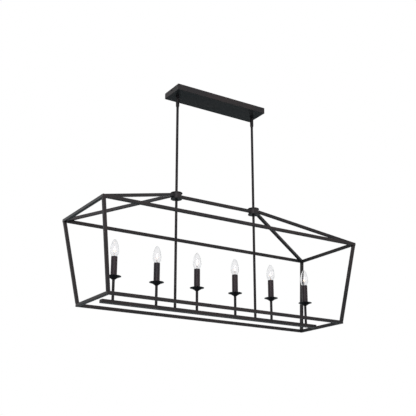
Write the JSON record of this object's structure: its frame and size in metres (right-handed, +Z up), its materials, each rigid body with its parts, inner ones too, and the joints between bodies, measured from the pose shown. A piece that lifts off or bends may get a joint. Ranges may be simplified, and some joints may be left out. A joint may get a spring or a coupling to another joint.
{
  "type": "linear island pendant light",
  "caption": "Long lantern cage of square metal bars that holds a row of candle lights and hangs on two rods from a rectangular ceiling canopy.",
  "frame": {"origin": "on the ceiling, at the middle of the canopy and of its mounting bar's slots", "axes": "+X along the cage, +Z up into the ceiling, +Y to the back"},
  "size_m": [1.245, 0.38, 0.9807],
  "materials": {
    "bronze_paint": "satin, near-black bronze",
    "dark_bronze_paint": "satin, darker bronze",
    "zinc_steel": "zinc plated",
    "green_screw": "green plated",
    "connector_plastic": "moulded",
    "lead_covering": "black, white and bare copper leads",
    "phenolic": "moulded, dark",
    "brass": "drawn",
    "clear_glass": "clear"
  },
  "bodies": {
    "canopy": {"canopy_shell": "bronze_paint", "mounting_bar": "zinc_steel", "canopy_screws": "dark_bronze_paint", "ground_screw": "green_screw", "swivel_cups": "dark_bronze_paint", "swivel_lock_washers": "zinc_steel", "swivel_locknuts": "zinc_steel", "wire_connectors": "connector_plastic", "canopy_leads": "lead_covering"},
    "suspension": {"swivel_balls": "dark_bronze_paint", "rod_couplings": "bronze_paint", "upper_rod_left": "bronze_paint", "upper_rod_right": "bronze_paint", "hub_top_discs": "bronze_paint", "hub_drums": "bronze_paint", "hub_bottom_discs": "bronze_paint", "lower_rod_left": "bronze_paint", "lower_rod_right": "bronze_paint", "ridge_bar": "bronze_paint", "hip_bar_front_left": "bronze_paint", "hip_bar_front_right": "bronze_paint", "hip_bar_back_left": "bronze_paint", "hip_bar_back_right": "bronze_paint", "corner_post_front_left": "bronze_paint", "corner_post_front_right": "bronze_paint", "corner_post_back_left": "bronze_paint", "corner_post_back_right": "bronze_paint", "top_rail_front": "bronze_paint", "top_rail_back": "bronze_paint", "top_rail_left": "bronze_paint", "top_rail_right": "bronze_paint", "bottom_rail_front": "bronze_paint", "bottom_rail_back": "bronze_paint", "bottom_rail_left": "bronze_paint", "bottom_rail_right": "bronze_paint", "candle_bar": "bronze_paint", "bar_end_caps": "bronze_paint", "bar_cover": "bronze_paint", "cover_screws": "dark_bronze_paint", "bar_nuts": "zinc_steel", "candle_stems": "bronze_paint", "drip_dishes": "dark_bronze_paint", "dish_nuts": "zinc_steel", "socket_brackets": "zinc_steel", "sockets": "phenolic", "socket_shells": "brass", "candle_sleeves": "dark_bronze_paint", "fixture_leads": "lead_covering"},
    "bulb_1": {"bulb_glass_1": "clear_glass", "bulb_base_1": "brass"},
    "bulb_2": {"bulb_glass_2": "clear_glass", "bulb_base_2": "brass"},
    "bulb_3": {"bulb_glass_3": "clear_glass", "bulb_base_3": "brass"},
    "bulb_4": {"bulb_glass_4": "clear_glass", "bulb_base_4": "brass"},
    "bulb_5": {"bulb_glass_5": "clear_glass", "bulb_base_5": "brass"},
    "bulb_6": {"bulb_glass_6": "clear_glass", "bulb_base_6": "brass"}
  },
  "joints": [
    {"name": "swing", "type": "hinge", "parent": "canopy", "child": "suspension", "pos_m": [0, 0, -0.0345], "axis": [1, 0, 0], "range_deg": [-30, 30]},
    {"name": "bulb_1_unscrew", "type": "slide", "parent": "suspension", "child": "bulb_1", "axis": [0, 0, 1], "range_m": [0, 0.01016]},
    {"name": "bulb_2_unscrew", "type": "slide", "parent": "suspension", "child": "bulb_2", "axis": [0, 0, 1], "range_m": [0, 0.01016]},
    {"name": "bulb_3_unscrew", "type": "slide", "parent": "suspension", "child": "bulb_3", "axis": [0, 0, 1], "range_m": [0, 0.01016]},
    {"name": "bulb_4_unscrew", "type": "slide", "parent": "suspension", "child": "bulb_4", "axis": [0, 0, 1], "range_m": [0, 0.01016]},
    {"name": "bulb_5_unscrew", "type": "slide", "parent": "suspension", "child": "bulb_5", "axis": [0, 0, 1], "range_m": [0, 0.01016]},
    {"name": "bulb_6_unscrew", "type": "slide", "parent": "suspension", "child": "bulb_6", "axis": [0, 0, 1], "range_m": [0, 0.01016]}
  ]
}
